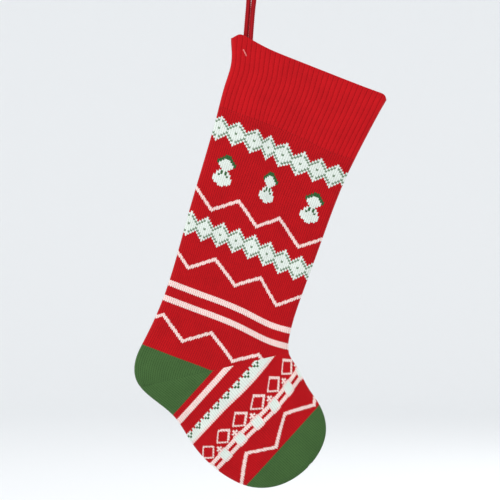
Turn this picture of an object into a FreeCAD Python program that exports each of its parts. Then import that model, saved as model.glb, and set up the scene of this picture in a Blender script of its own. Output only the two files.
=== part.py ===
import FreeCAD, Part
import math
import os

# Hanging Christmas stocking, machine knitted in two faces that are linked together round the edge.
# It hangs from a cord loop sewn into one corner of its ribbed cuff, and tilts until its weight is
# under that corner.
#
# Every outline is drawn in the stocking's own plane: x runs across the leg from the heel side to
# the instep side, z runs up the leg, and (0, 0) is the corner of the cuff where the loop goes in.
# At the end each piece is turned by the hanging tilt and moved to its place under the hook.
# The row frame has +Z up, +X towards the toe and the front face towards -Y. Its origin is the
# middle of the hook that the loop goes round. All sizes are in millimetres.

# ---- driving dimensions --------------------------------------------------------------------
HANG_TILT = 18.0             # the leg leans this far, because the loop holds one corner only
LOOP_DROP = 75.0             # from the middle of the hook down to the cuff's corner
LOOP_LEAN = 4.5              # the loop's own lean, in degrees
CORD_RADIUS = 2.8
HOOK_RADIUS = 2.5            # the peg or nail that the loop goes round
TAIL_LENGTH = 8.0            # cord ends sewn inside the cuff
TAIL_SPACING = 5.8           # between the two cord ends, centre to centre

WALL = 1.8                   # thickness of one layer of knitting
HOLLOW = 6.0                 # room between the front and the back face
EDGE = 3.0                   # width of the linked edge that joins the two faces
MOTIF_RISE = 0.5             # contrast yarn stands this far proud of the red ground
MARK_RISE = 0.3              # and the small marks on the wide band stand this far above it
TACK_THREAD = 0.6            # radius of the thread that holds the loop
FOLD_GAP = 3.8               # slack knitting left at the ankle, where the foot folds

LEG_STITCHES = 64            # stitches across one face of the leg
FOOT_STITCHES = 58           # stitches across one face of the foot
ROW = 2.106                  # height of one row of knitting
ROW_SLOPE = 3.7              # the leg's rows run down towards the instep side, in degrees
MITRE = 31.1                 # slope of the short-row line from the heel's corner to the instep

# ---- where the leg's rows come, counted down from the cuff's edge ---------------------------
TOP_MIDDLE = (68.4, -4.7)    # middle of the cuff's top edge
CUFF_ROWS = 36
DIAMONDS_UPPER = 41
SNOWMEN = 58
ZIGZAG_UPPER = 77
DIAMONDS_LOWER = 92
ZIGZAG_MIDDLE = 109
STRIPE_UPPER = 128
STRIPE_LOWER = 136
ZIGZAG_LOWER = 145
HEEL_ROW = 164

# ---- where the foot's rows come, counted from the instep's crease towards the toe -----------
CREASE = (147.2, -304.2)     # instep end of the short-row line
HEEL_END = -23
FOOT_STRIPE = -20
TREE_BAND = -11
OPEN_DIAMONDS = -1
DASH_BAND = 8
ZIGZAG_FOOT = 17
TOE_ROW = 29

STRIPE_ROWS = 3
TREE_BAND_ROWS = 6
DASH_BAND_ROWS = 5
DIAMOND_ROWS = 13
OPEN_DIAMOND_ROWS = 9

DIAMOND_STITCHES = 8         # width of one filled diamond
SNOWMAN_STITCHES = (10.5, 32.5, 54.5)
HEAD_ROWS = 3.1              # radius of a snowman's head, in rows
BODY_ROWS = 4.3              # and of its body
HAT_HALF = 4.5               # half the width of its cap, in stitches
DASH_PITCH = 10              # stitches from one open diamond, and the dash under it, to the next
DASH_STITCHES = [5.5 + DASH_PITCH * index for index in range(6)]

ZIGZAG_DROP = 9              # rows between a zigzag's peaks and its valleys
ZIGZAG_LINE = 2              # rows that the zigzag's own line takes
ZIGZAG_HALF = 11             # stitches from a peak to the next valley

# The stocking's edge, from the cuff's pulled-up corner down the heel side, round the heel, along
# the sole, round the toe and back up the instep side to the cuff's other corner.
EDGE_POINTS = [
    (-18.2, 0.9), (-13.8, -13.0), (-10.2, -25.0), (-9.0, -50.0), (-7.5, -80.0), (-3.6, -194.0),
    (-0.9, -257.0), (-1.9, -303.0), (-7.2, -344.0), (-9.0, -362.0), (-2.0, -383.5), (18.0, -396.4),
    (50.4, -409.5), (74.0, -428.0), (100.8, -445.0), (126.0, -453.7), (150.0, -455.8),
    (178.0, -446.0), (198.0, -426.0), (210.0, -399.0), (210.5, -374.0), (196.2, -349.7),
    (176.4, -333.4), (160.0, -317.5), (146.5, -305.5), (141.3, -288.0), (140.3, -241.7),
    (142.2, -190.0), (145.7, -115.6), (152.0, -68.0), (162.0, -11.5),
]

FAR = 700.0                  # larger than the stocking, for cutting tools
SKIN = HOLLOW / 2 + WALL     # from the middle plane to the outer face of the red ground


# ---- directions and places in the knitting ---------------------------------------------------
def unit(degrees):
    """Direction in the stocking's plane, as an angle above the x axis."""
    return (math.cos(math.radians(degrees)), math.sin(math.radians(degrees)))


LEG_ROW = unit(-ROW_SLOPE)
SUTURE = unit(MITRE)
FOOT_ROW = unit(2 * MITRE + ROW_SLOPE)
FOOT_AXIS = (FOOT_ROW[1], -FOOT_ROW[0])


def leg_origin(row):
    """Middle of the leg at the upper edge of a row."""
    return (TOP_MIDDLE[0], TOP_MIDDLE[1] - row * ROW)


def foot_origin(row):
    """Instep end of a row of the foot."""
    return (CREASE[0] + FOOT_AXIS[0] * row * ROW, CREASE[1] + FOOT_AXIS[1] * row * ROW)


def plane_point(x, z, y=0.0):
    return FreeCAD.Vector(x, y, z)


def edge_curve():
    """The stocking's edge, from one corner of the mouth round the toe to the other."""
    curve = Part.BSplineCurve()
    curve.interpolate([plane_point(x, z) for x, z in EDGE_POINTS])
    return curve


def outline_face():
    """Flat face of the whole stocking, at y = 0."""
    first = plane_point(*EDGE_POINTS[0])
    last = plane_point(*EDGE_POINTS[-1])
    middle = plane_point(*TOP_MIDDLE)
    top_edge = Part.Arc(last, middle, first).toShape()
    return Part.Face(Part.Wire([edge_curve().toShape(), top_edge]))


def inner_face():
    """Flat face of the hollow: one edge's width inside the outline, and out through the mouth."""
    curve = edge_curve()
    steps = 2 * len(EDGE_POINTS)
    points = []
    for step in range(steps + 1):
        share = step / steps
        place = curve.FirstParameter + (curve.LastParameter - curve.FirstParameter) * share
        along = curve.tangent(place)[0]
        inward = FreeCAD.Vector(-along.z, 0, along.x)
        points.append(curve.value(place) + inward * EDGE)
    inner = Part.BSplineCurve()
    inner.interpolate(points)
    beyond = FreeCAD.Vector(0, 0, 6 * EDGE)
    mouth = Part.makePolygon([points[-1], points[-1] + beyond, points[0] + beyond, points[0]])
    return Part.Face(Part.Wire([inner.toShape()] + mouth.Edges))


OUTLINE = outline_face()
INSET = inner_face()


def prism(face, near, far):
    """Solid of a flat face of the stocking's plane, between two depths."""
    moved = face.copy()
    moved.translate(FreeCAD.Vector(0, near, 0))
    return moved.extrude(FreeCAD.Vector(0, far - near, 0))


def polygon(points):
    return Part.Face(Part.makePolygon([plane_point(x, z) for x, z in points + points[:1]]))


def half_plane(through, along, side):
    """Large block on one side of a line. Side +1 keeps what lies to the left of its direction."""
    normal = (-along[1] * side, along[0] * side)
    start = (through[0] - along[0] * FAR, through[1] - along[1] * FAR)
    end = (through[0] + along[0] * FAR, through[1] + along[1] * FAR)
    far_end = (end[0] + normal[0] * FAR, end[1] + normal[1] * FAR)
    far_start = (start[0] + normal[0] * FAR, start[1] + normal[1] * FAR)
    return prism(polygon([start, end, far_end, far_start]), -FAR / 10, FAR / 10)


def above_leg_row(row):
    return half_plane(leg_origin(row), LEG_ROW, 1)


def below_leg_row(row):
    return half_plane(leg_origin(row), LEG_ROW, -1)


def heelward_of(row):
    return half_plane(foot_origin(row), FOOT_ROW, 1)


def toeward_of(row):
    return half_plane(foot_origin(row), FOOT_ROW, -1)


def ankle_side(side):
    """Everything on the leg's side (+1) or the foot's side (-1) of the ankle's fold."""
    shift = side * FOLD_GAP / 2
    through = (CREASE[0] - SUTURE[1] * shift, CREASE[1] + SUTURE[0] * shift)
    return half_plane(through, SUTURE, side)


LEG_SIDE = ankle_side(1)
FOOT_SIDE = ankle_side(-1)


# ---- knitted faces and linked edges -----------------------------------------------------------
def layer(front):
    """One whole layer of knitting: the front face lies towards -y, the back face towards +y."""
    if front:
        return prism(OUTLINE, -SKIN, -HOLLOW / 2)
    return prism(OUTLINE, HOLLOW / 2, SKIN)


def keep(shape, *regions):
    for region in regions:
        shape = shape.common(region)
    return shape


def knitted_panels():
    """The five sections of each face, each in its own yarn or stitch."""
    regions = {
        "cuff": (above_leg_row(CUFF_ROWS),),
        "leg": (below_leg_row(CUFF_ROWS), above_leg_row(HEEL_ROW), LEG_SIDE),
        "heel_upper": (below_leg_row(HEEL_ROW), LEG_SIDE),
        "heel_lower": (FOOT_SIDE, heelward_of(HEEL_END)),
        "foot": (FOOT_SIDE, toeward_of(HEEL_END), heelward_of(TOE_ROW)),
        "toe": (toeward_of(TOE_ROW),),
    }
    panels = {}
    for name, region in regions.items():
        panels[name + "_front"] = keep(layer(True), *region)
        panels[name + "_back"] = keep(layer(False), *region)
    return panels


def edge_seams():
    """Linked edges between the two faces. The mouth at the top of the cuff is left open."""
    rim = prism(OUTLINE, -HOLLOW / 2, HOLLOW / 2)
    rim = rim.cut(prism(INSET, -HOLLOW, HOLLOW))
    heel_half = half_plane(TOP_MIDDLE, (0, 1), 1)
    front_half = half_plane(TOP_MIDDLE, (0, 1), -1)
    foot_middle = foot_place(FOOT_STITCHES / 2, 0)
    sole_half = half_plane(foot_middle, FOOT_AXIS, -1)
    instep_half = half_plane(foot_middle, FOOT_AXIS, 1)
    return {
        "heel_side_seam": keep(rim, heel_half, LEG_SIDE),
        "instep_side_seam": keep(rim, front_half, LEG_SIDE),
        "sole_seam": keep(rim, FOOT_SIDE, sole_half, heelward_of(TOE_ROW)),
        "foot_top_seam": keep(rim, FOOT_SIDE, instep_half, heelward_of(TOE_ROW)),
        "toe_seam": keep(rim, toeward_of(TOE_ROW)),
    }


# ---- contrast yarns knitted into the faces ----------------------------------------------------
def row_span(origin, along):
    """The two ends of a row of knitting, found on the stocking's outline."""
    start = plane_point(origin[0] - along[0] * FAR, origin[1] - along[1] * FAR)
    end = plane_point(origin[0] + along[0] * FAR, origin[1] + along[1] * FAR)
    inside = OUTLINE.common(Part.makeLine(start, end))
    ends = sorted((v.Point for v in inside.Vertexes), key=lambda p: p.x * along[0] + p.z * along[1])
    return (ends[0].x, ends[0].z), (ends[-1].x, ends[-1].z)


def leg_place(stitch, row):
    """Point of the leg: stitches are counted from the heel side, rows from the cuff's edge."""
    low, high = row_span(leg_origin(row), LEG_ROW)
    part = stitch / LEG_STITCHES
    return (low[0] + (high[0] - low[0]) * part, low[1] + (high[1] - low[1]) * part)


def foot_place(stitch, row):
    """Point of the foot: stitches are counted from the sole, rows from the instep's crease."""
    low, high = row_span(foot_origin(row), FOOT_ROW)
    part = stitch / FOOT_STITCHES
    return (low[0] + (high[0] - low[0]) * part, low[1] + (high[1] - low[1]) * part)


def motif(faces, region=None, base=SKIN, rise=MOTIF_RISE):
    """The same yarn figure on the front and on the back, as thin solids standing on the ground."""
    solids = []
    for face in faces:
        trimmed = face.common(INSET)
        for near, far in ((-base - rise, -base), (base, base + rise)):
            solid = prism(trimmed, near, far)
            if region is not None:
                solid = solid.common(region)
            solids.extend(solid.Solids)
    return Part.makeCompound(solids)


def band(place, stitches, first_row, rows):
    """Straight band from edge to edge of a face."""
    return polygon([
        place(0, first_row), place(stitches, first_row),
        place(stitches, first_row + rows), place(0, first_row + rows),
    ])


def zigzag(place, stitches, first_row, valley, half=ZIGZAG_HALF):
    """Line that goes up and down once in every two half periods, with a valley at one stitch."""
    turn = valley - half * math.ceil(valley / half + 1)
    upper = []
    lower = []
    while turn < stitches + half:
        is_valley = round((turn - valley) / half) % 2 == 0
        row = first_row + (ZIGZAG_DROP if is_valley else 0)
        inside = min(max(turn, 0), stitches)
        if inside != turn:
            outside = half - abs(inside - turn)
            if outside > 0:
                share = abs(inside - turn) / half
                other = first_row + (0 if is_valley else ZIGZAG_DROP)
                row = row + (other - row) * share
        if inside == turn or outside > 0:
            upper.append(place(inside, row))
            lower.append(place(inside, row + ZIGZAG_LINE))
        turn += half
    return polygon(upper + lower[::-1])


def diamond(place, stitch, row, half_stitches, half_rows):
    return polygon([
        place(stitch - half_stitches, row), place(stitch, row - half_rows),
        place(stitch + half_stitches, row), place(stitch, row + half_rows),
    ])


def diamond_chain(first_row):
    """Filled diamonds side by side across the leg, the first one cut by the heel-side edge."""
    middle = first_row + DIAMOND_ROWS / 2
    return [
        diamond(leg_place, stitch + 2.5, middle, DIAMOND_STITCHES / 2 - 0.2, DIAMOND_ROWS / 2)
        for stitch in range(0, LEG_STITCHES, DIAMOND_STITCHES)
    ]


def disc(place, stitch, row, radius):
    x, z = place(stitch, row)
    circle = Part.Circle(plane_point(x, z), FreeCAD.Vector(0, 1, 0), radius)
    return Part.Face(Part.Wire([circle.toShape()]))


def snowman_bodies():
    """Head and wider body of each snowman, joined at the neck."""
    faces = []
    for stitch in SNOWMAN_STITCHES:
        head = disc(leg_place, stitch, SNOWMEN + 4.5, HEAD_ROWS * ROW)
        body = disc(leg_place, stitch, SNOWMEN + 11.6, BODY_ROWS * ROW)
        faces.extend(head.fuse(body).removeSplitter().Faces)
    return faces


def snowman_hats():
    """A roof-shaped cap that hangs down both sides of each head."""
    faces = []
    for stitch in SNOWMAN_STITCHES:
        head = disc(leg_place, stitch, SNOWMEN + 4.5, (HEAD_ROWS + 0.1) * ROW)
        left = stitch - HAT_HALF
        right = stitch + HAT_HALF
        hat = polygon([
            leg_place(stitch, SNOWMEN), leg_place(right, SNOWMEN + 3.5),
            leg_place(right, SNOWMEN + 5), leg_place(left, SNOWMEN + 5),
            leg_place(left, SNOWMEN + 3.5),
        ])
        faces.extend(hat.cut(head).Faces)
    return faces


def tree_marks():
    """Row of small green arrowheads on the foot's wide white band."""
    return [
        polygon([
            foot_place(stitch - 1.5, TREE_BAND + 1), foot_place(stitch + 1.5, TREE_BAND + 1),
            foot_place(stitch, TREE_BAND + 3.4),
        ])
        for stitch in range(4, FOOT_STITCHES - 9, 6)
    ]


def open_diamonds():
    """Diamond outlines above the dashed band, with red ground inside."""
    faces = []
    middle = OPEN_DIAMONDS + OPEN_DIAMOND_ROWS / 2
    for stitch in DASH_STITCHES:
        whole = diamond(foot_place, stitch, middle, 4.5, OPEN_DIAMOND_ROWS / 2 - 0.1)
        window = diamond(foot_place, stitch, middle, 3.2, 3.1)
        faces.extend(whole.cut(window).Faces)
    return faces


def dash_band():
    """White band with a short red dash under each open diamond."""
    yarn = motif([band(foot_place, FOOT_STITCHES, DASH_BAND, DASH_BAND_ROWS)], FOOT_SIDE)
    for stitch in DASH_STITCHES:
        window = polygon([
            foot_place(stitch - 2.5, DASH_BAND + 2), foot_place(stitch + 2.5, DASH_BAND + 2),
            foot_place(stitch + 2.5, DASH_BAND + 3), foot_place(stitch - 2.5, DASH_BAND + 3),
        ])
        yarn = yarn.cut(prism(window, -FAR / 10, FAR / 10))
    return yarn


def leg_band(row):
    return [band(leg_place, LEG_STITCHES, row, STRIPE_ROWS)]


def leg_zigzag(row, valley):
    return [zigzag(leg_place, LEG_STITCHES, row, valley)]


def motifs():
    """Every contrast yarn, each in the part of the stocking that it is knitted into."""
    return {
        "diamond_chain_upper": motif(diamond_chain(DIAMONDS_UPPER)),
        "snowman_bodies": motif(snowman_bodies()),
        "snowman_hats": motif(snowman_hats()),
        "zigzag_upper": motif(leg_zigzag(ZIGZAG_UPPER, 10.5)),
        "diamond_chain_lower": motif(diamond_chain(DIAMONDS_LOWER)),
        "zigzag_middle": motif(leg_zigzag(ZIGZAG_MIDDLE, 7.0)),
        "stripe_upper": motif(leg_band(STRIPE_UPPER)),
        "stripe_lower": motif(leg_band(STRIPE_LOWER)),
        "zigzag_lower": motif(leg_zigzag(ZIGZAG_LOWER, 15.5), LEG_SIDE),
        "foot_stripe": motif([band(foot_place, FOOT_STITCHES, FOOT_STRIPE, STRIPE_ROWS)], FOOT_SIDE),
        "tree_band": motif([band(foot_place, FOOT_STITCHES, TREE_BAND, TREE_BAND_ROWS)], FOOT_SIDE),
        "tree_marks": motif(tree_marks(), FOOT_SIDE, SKIN + MOTIF_RISE, MARK_RISE),
        "open_diamonds": motif(open_diamonds(), FOOT_SIDE),
        "dash_band": dash_band(),
        "zigzag_foot": motif([zigzag(foot_place, FOOT_STITCHES, ZIGZAG_FOOT, 6.5, 11.5)]),
    }


# ---- loop and its tack ------------------------------------------------------------------------
def loop_corner():
    """Where the loop goes into the cuff, in the row frame."""
    lean = math.radians(LOOP_LEAN)
    return FreeCAD.Vector(-LOOP_DROP * math.tan(lean), 0, -LOOP_DROP)


def hanging_loop():
    """Cord pulled straight by the weight: up from the cuff, round the hook and back down."""
    bend = HOOK_RADIUS + CORD_RADIUS
    corner = loop_corner()
    lower = corner - FreeCAD.Vector(0, 0, TAIL_LENGTH)
    offset = FreeCAD.Vector(TAIL_SPACING / 2, 0, 0)
    left_end = lower - offset
    right_end = lower + offset
    left_top = tangent_point(left_end, bend, -1)
    right_top = tangent_point(right_end, bend, 1)
    over = FreeCAD.Vector(0, 0, bend)
    path = Part.Wire([
        Part.makeLine(left_end, left_top),
        Part.Arc(left_top, over, right_top).toShape(),
        Part.makeLine(right_top, right_end),
    ])
    start = Part.Wire([Part.Circle(left_end, left_top - left_end, CORD_RADIUS).toShape()])
    cord = path.makePipeShell([start], True, True)
    expected = math.pi * CORD_RADIUS ** 2 * path.Length
    print("loop: length %.1f mm, bend radius %.1f mm, volume %.1f of %.1f mm3"
          % (path.Length, bend, cord.Volume, expected))
    return cord


def tangent_point(end, radius, side):
    """Where a straight cord from an end below meets the circle round the hook, on one side."""
    reach = math.hypot(end.x, end.z)
    towards_end = math.atan2(end.z, end.x)
    swing = math.acos(radius / reach)
    angle = towards_end + side * swing
    return FreeCAD.Vector(radius * math.cos(angle), 0, radius * math.sin(angle))


def loop_tack():
    """Slanting stitch through the cuff and the cord's ends, with its return on the back."""
    upper = (-2.0, -9.1)
    lower = (3.9, -15.3)
    solids = []
    for depth in (-SKIN - TACK_THREAD, SKIN + TACK_THREAD):
        start = plane_point(upper[0], upper[1], depth)
        end = plane_point(lower[0], lower[1], depth)
        bar = Part.makeCylinder(TACK_THREAD, (end - start).Length, start, end - start)
        for tip in (start, end):
            bar = bar.fuse(Part.makeSphere(TACK_THREAD, tip))
        solids.append(bar.removeSplitter())
    return Part.makeCompound(solids)


def hang(shape):
    """Turn a piece by the hanging tilt and put the cuff's corner under the loop."""
    hung = shape.copy()
    hung.rotate(FreeCAD.Vector(0, 0, 0), FreeCAD.Vector(0, 1, 0), HANG_TILT)
    hung.translate(loop_corner())
    return hung


def build():
    pieces = {}
    pieces.update(knitted_panels())
    pieces.update(edge_seams())
    pieces.update(motifs())
    pieces["loop_tack"] = loop_tack()
    nodes = {name: hang(shape) for name, shape in pieces.items()}
    nodes["hanging_loop"] = hanging_loop()
    return nodes


def report_balance(nodes):
    """Print how far the stocking's weight lies beside the corner that it hangs from."""
    volume = 0.0
    moment = FreeCAD.Vector(0, 0, 0)
    for name, shape in nodes.items():
        if name != "hanging_loop":
            for solid in shape.Solids:
                volume += solid.Volume
                moment += solid.CenterOfMass * solid.Volume
    centre = moment * (1 / volume)
    offset = centre - loop_corner()
    print("weight is %.1f mm towards the toe of the corner, %.1f mm below" % (offset.x, -offset.z))


def main():
    os.makedirs("parts", exist_ok=True)
    nodes = build()
    for name, shape in nodes.items():
        shape.exportStep("parts/%s.step" % name)
        print("%-22s solids %2d  volume %9.1f  valid %s"
              % (name, len(shape.Solids), shape.Volume, shape.isValid()))
    report_balance(nodes)
    crease = hang(Part.Vertex(plane_point(*CREASE))).Point
    print("swing axis through %s, fold axis through %s" % (loop_corner(), crease))


main()
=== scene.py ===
# %% [markdown]
# # A knitted Christmas stocking
#
# This lesson builds a hanging Christmas stocking: red machine knitting with white and green
# figures, a ribbed cuff, a green heel and toe, and a cord loop at one corner. Knitting is a grid of
# small loops, so most of the work is to lay that grid over the stocking's shape, give every stitch
# its V, and choose the yarn of every stitch from a chart, as a knitter does.
#
# The engineering model comes first. It is the frame that every visible piece is fitted to, and it
# says which pieces move together: the loop, the leg, and the foot that folds at the ankle.

# %% Load the frame
import math

import bpy
import numpy as np
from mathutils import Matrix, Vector
from mathutils.kdtree import KDTree


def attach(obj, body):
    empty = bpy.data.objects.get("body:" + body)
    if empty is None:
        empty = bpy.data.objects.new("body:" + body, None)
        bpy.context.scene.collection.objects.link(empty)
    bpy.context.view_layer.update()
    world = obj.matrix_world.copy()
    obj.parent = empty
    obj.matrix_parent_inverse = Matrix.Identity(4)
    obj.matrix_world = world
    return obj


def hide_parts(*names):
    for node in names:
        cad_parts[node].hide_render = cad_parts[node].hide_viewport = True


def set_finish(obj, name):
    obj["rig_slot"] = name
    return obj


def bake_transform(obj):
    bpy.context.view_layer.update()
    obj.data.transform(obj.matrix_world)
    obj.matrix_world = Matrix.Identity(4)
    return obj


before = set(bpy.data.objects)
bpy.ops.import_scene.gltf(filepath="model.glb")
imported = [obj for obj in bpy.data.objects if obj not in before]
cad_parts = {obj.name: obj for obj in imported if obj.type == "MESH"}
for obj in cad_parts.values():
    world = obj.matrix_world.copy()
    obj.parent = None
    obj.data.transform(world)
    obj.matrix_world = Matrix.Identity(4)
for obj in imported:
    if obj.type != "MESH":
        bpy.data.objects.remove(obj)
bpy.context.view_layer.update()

MM = 0.001

# %% [markdown]
# ## Camera
#
# The stocking is seen straight on from far away, as in a catalogue, so that its outline has almost
# no perspective. A long lens does that: the camera stands back, and the lens is chosen so that the
# picture is a little wider than half a metre at the stocking. The camera looks at the middle of the
# stocking and not at its hook, which lies just above the picture.

# %% Camera
VIEW_WIDTH = 0.540
VIEW_MIDDLE = (-0.0032, -0.2996)
CAMERA_DISTANCE = 2.4

camera = bpy.data.objects.new("camera", bpy.data.cameras.new("camera"))
bpy.context.scene.collection.objects.link(camera)
camera.data.sensor_width = 36.0
camera.data.lens = camera.data.sensor_width * CAMERA_DISTANCE / VIEW_WIDTH
camera.location = (VIEW_MIDDLE[0], -CAMERA_DISTANCE, VIEW_MIDDLE[1])
camera.rotation_euler = (math.radians(90), 0, 0)
bpy.context.scene.camera = camera
bpy.context.scene.view_settings.view_transform = "Standard"
print("lens: %.0f mm" % camera.data.lens)

# %% [markdown]
# ## Hanging loop
#
# The loop is a narrow knitted cord, folded double. Its two ends are sewn inside the cuff's corner,
# and the stocking's weight pulls it straight. A cord is a line with a thickness, so its line is
# drawn first, as a smooth spline with few points: up one side, round the hook and down the other.
# The knitted tube is then built round that line, with six columns of stitches.

# %% The loop's line
CORD_RADIUS = 0.0028
LOOP_CORNER = (-0.0059026, -0.075)
LOOP_ROUTE = [
    (-0.0087, 0.0010, -0.083), (-0.0069, 0.0012, -0.058), (-0.0041, 0.0010, -0.027),
    (-0.0050, 0, -0.008), (-0.0055, 0, 0.0053), (0.0055, 0, 0.0053), (0.0050, 0, -0.008),
    (0.0012, -0.0010, -0.027), (-0.0018, -0.0012, -0.058), (-0.0033, -0.0010, -0.083),
]


def deselect_all():
    for obj in list(bpy.context.selected_objects):
        obj.select_set(False)


def spline_points(name, route):
    """Closely spaced points along a smooth spline through the air, from a few control points."""
    curve = bpy.data.curves.new(name, "CURVE")
    curve.dimensions = "3D"
    curve.resolution_u = 24
    spline = curve.splines.new("NURBS")
    spline.points.add(len(route) - 1)
    for point, place in zip(spline.points, route):
        point.co = (*place, 1.0)
    spline.order_u = 3
    spline.use_endpoint_u = True
    line = bpy.data.objects.new(name, curve)
    mesh = bpy.data.meshes.new_from_object(line)
    points = np.array([vertex.co for vertex in mesh.vertices])
    bpy.data.objects.remove(line)
    bpy.data.meshes.remove(mesh)
    return points


def evenly(points, step):
    """The same line with points at one even distance."""
    gaps = np.linalg.norm(np.diff(points, axis=0), axis=1)
    run = np.concatenate([[0.0], np.cumsum(gaps)])
    count = max(2, int(round(run[-1] / step)) + 1)
    places = np.linspace(0.0, run[-1], count)
    return np.stack([np.interp(places, run, points[:, axis]) for axis in range(3)], axis=1)


loop_line = spline_points("loop_line", LOOP_ROUTE)
loop_length = float(np.linalg.norm(np.diff(loop_line, axis=0), axis=1).sum())
print("loop: %.1f mm long" % (loop_length / MM))

# %% [markdown]
# ## One stitch
#
# Seen from the front, each stitch of plain knitting is a small V: two slanting legs of yarn that
# rise in the middle and dip where the next row pulls through. Four columns and two lines of vertices
# are enough for that. One small table gives the height of the yarn at each of the four columns, and
# another shifts each column up or down the fabric, which turns square cells into Vs. A cell is half
# a leg of yarn, two columns wide and one line high, and is the smallest thing that has one colour.

# %% The height and the slant of the yarn in one stitch
COLUMNS = 4                  # vertices across one stitch
LINES = 2                    # and along it
CELL = 2                     # columns in one cell
CELLS = COLUMNS // CELL      # cells across one stitch
YARN_HEIGHT = np.array([0.0, 1.0, 0.60, 1.0])
YARN_SLANT = np.array([-0.28, 0.0, 0.28, 0.0])
ROW_DIP = np.array([0.32, 1.0])


def stitch_relief(column, line):
    """Height of the yarn's surface, from 0 between two columns of stitches to 1 on a leg."""
    return YARN_HEIGHT[column % COLUMNS] * ROW_DIP[line % LINES]


print("one stitch has", COLUMNS * LINES, "faces")

# %% The loop's knitted tube
LOOP_COLUMNS = 6
LOOP_ROW = 0.0021
CORD_VALLEY = 0.86           # reach of the valleys between its stitches, in radii
CORD_RELIEF = 0.16           # and how much further the yarn stands
ACROSS = np.array([0.0, 1.0, 0.0])


def new_mesh_object(name, vertices, faces):
    mesh = bpy.data.meshes.new(name)
    mesh.from_pydata(vertices, [], faces)
    mesh.validate()
    obj = bpy.data.objects.new(name, mesh)
    bpy.context.scene.collection.objects.link(obj)
    mesh.shade_smooth()
    return obj


def add_relief_attribute(obj, values):
    # The finishes use this relief for painted shade: where it is low the yarn is darker.
    attribute = obj.data.attributes.new("relief", "FLOAT", "POINT")
    attribute.data.foreach_set("value", np.asarray(values, np.float32))


def add_stitch_uv(obj, places):
    """UV map that counts stitches across and rows along, for the yarn's twist and fibres."""
    layer = obj.data.uv_layers.new(name="stitches")
    corners = np.empty(len(obj.data.loops), np.int32)
    obj.data.loops.foreach_get("vertex_index", corners)
    layer.data.foreach_set("uv", np.asarray(places, np.float32)[corners].ravel())


def tube(name, line, sides, shape):
    """A closed tube round a line in a plane of constant y.

    For each ring and corner, shape gives the reach from the line, a shift along it, the relief and
    the place in stitches.
    """
    along = np.gradient(line, axis=0)
    along /= np.linalg.norm(along, axis=1)[:, None]
    outward = np.cross(along, ACROSS)
    vertices, relief, places = [], [], []
    for ring in range(len(line)):
        for corner in range(sides):
            angle = 2 * math.pi * corner / sides
            way = math.cos(angle) * outward[ring] + math.sin(angle) * ACROSS
            reach, shift, height, place = shape(ring, corner)
            vertices.append(line[ring] + way * reach + along[ring] * shift)
            relief.append(height)
            places.append(place)
    faces = [tuple(range(sides))[::-1]]
    for low in range(0, (len(line) - 1) * sides, sides):
        for corner in range(sides):
            following = (corner + 1) % sides
            faces.append((low + corner, low + following, low + sides + following, low + sides + corner))
    faces.append(tuple(range((len(line) - 1) * sides, len(line) * sides)))
    obj = new_mesh_object(name, np.array(vertices).tolist(), faces)
    add_relief_attribute(obj, relief)
    add_stitch_uv(obj, places)
    return obj


def knitted_cord(name, line, radius, columns, row):
    """A knitted tube round a line, with even ends."""
    centres = evenly(line, row / LINES)

    def stitch_shape(ring, corner):
        height = stitch_relief(corner, ring)
        at_an_end = ring < LINES or ring >= len(centres) - LINES
        slant = 0.0 if at_an_end else YARN_SLANT[corner % COLUMNS] * row
        reach = radius * (CORD_VALLEY + CORD_RELIEF * height)
        return reach, slant, height, (corner / COLUMNS, ring / LINES)

    return tube(name, centres, columns * COLUMNS, stitch_shape)


loop = knitted_cord("hanging_loop_cord", loop_line, CORD_RADIUS, LOOP_COLUMNS, LOOP_ROW)
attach(loop, "loop")
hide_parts("hanging_loop")
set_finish(loop, "loop_cord")
print("loop has", len(loop.data.polygons), "faces")

# %% [markdown]
# ## The stocking's outline
#
# The stocking is knitted flat, in two faces that are linked round the edge. Its outline is drawn in
# its own plane, in millimetres: x runs from the heel side to the instep side, z runs up the leg, and
# the corner of the cuff with the loop is at (0, 0). A smooth line goes through about thirty points,
# from one corner of the mouth, round the heel and the toe, to the other corner. At the end
# everything is turned by the angle at which the stocking hangs.

# %% Outline
EDGE_POINTS = np.array([
    (-18.2, 0.9), (-13.8, -13.0), (-10.2, -25.0), (-9.0, -50.0), (-7.5, -80.0), (-3.6, -194.0),
    (-0.9, -257.0), (-1.9, -303.0), (-7.2, -344.0), (-9.0, -362.0), (-2.0, -383.5), (18.0, -396.4),
    (50.4, -409.5), (74.0, -428.0), (100.8, -445.0), (126.0, -453.7), (150.0, -455.8),
    (178.0, -446.0), (198.0, -426.0), (210.0, -399.0), (210.5, -374.0), (196.2, -349.7),
    (176.4, -333.4), (160.0, -317.5), (146.5, -305.5), (141.3, -288.0), (140.3, -241.7),
    (142.2, -190.0), (145.7, -115.6), (152.0, -68.0), (162.0, -11.5),
])
HANG_TILT = math.radians(18.0)


def smooth_line(points, step):
    """Natural cubic spline through points, as closely spaced points."""
    gaps = np.linalg.norm(np.diff(points, axis=0), axis=1)
    knots = np.concatenate([[0.0], np.cumsum(gaps)])
    count = len(points)
    matrix = np.eye(count)
    right = np.zeros((count, points.shape[1]))
    for k in range(1, count - 1):
        matrix[k, k - 1:k + 2] = (gaps[k - 1], 2 * (gaps[k - 1] + gaps[k]), gaps[k])
        rise = np.diff(points[k - 1:k + 2], axis=0)
        right[k] = 6 * (rise[1] / gaps[k] - rise[0] / gaps[k - 1])
    bend = np.linalg.solve(matrix, right)
    places = np.linspace(0, knots[-1], int(knots[-1] / step) + 1)
    span = np.clip(np.searchsorted(knots, places, side="right") - 1, 0, count - 2)
    gap = gaps[span][:, None]
    b = (places - knots[span])[:, None] / gap
    a = 1 - b
    return (a * points[span] + b * points[span + 1]
            + ((a ** 3 - a) * bend[span] + (b ** 3 - b) * bend[span + 1]) * gap ** 2 / 6)


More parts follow.
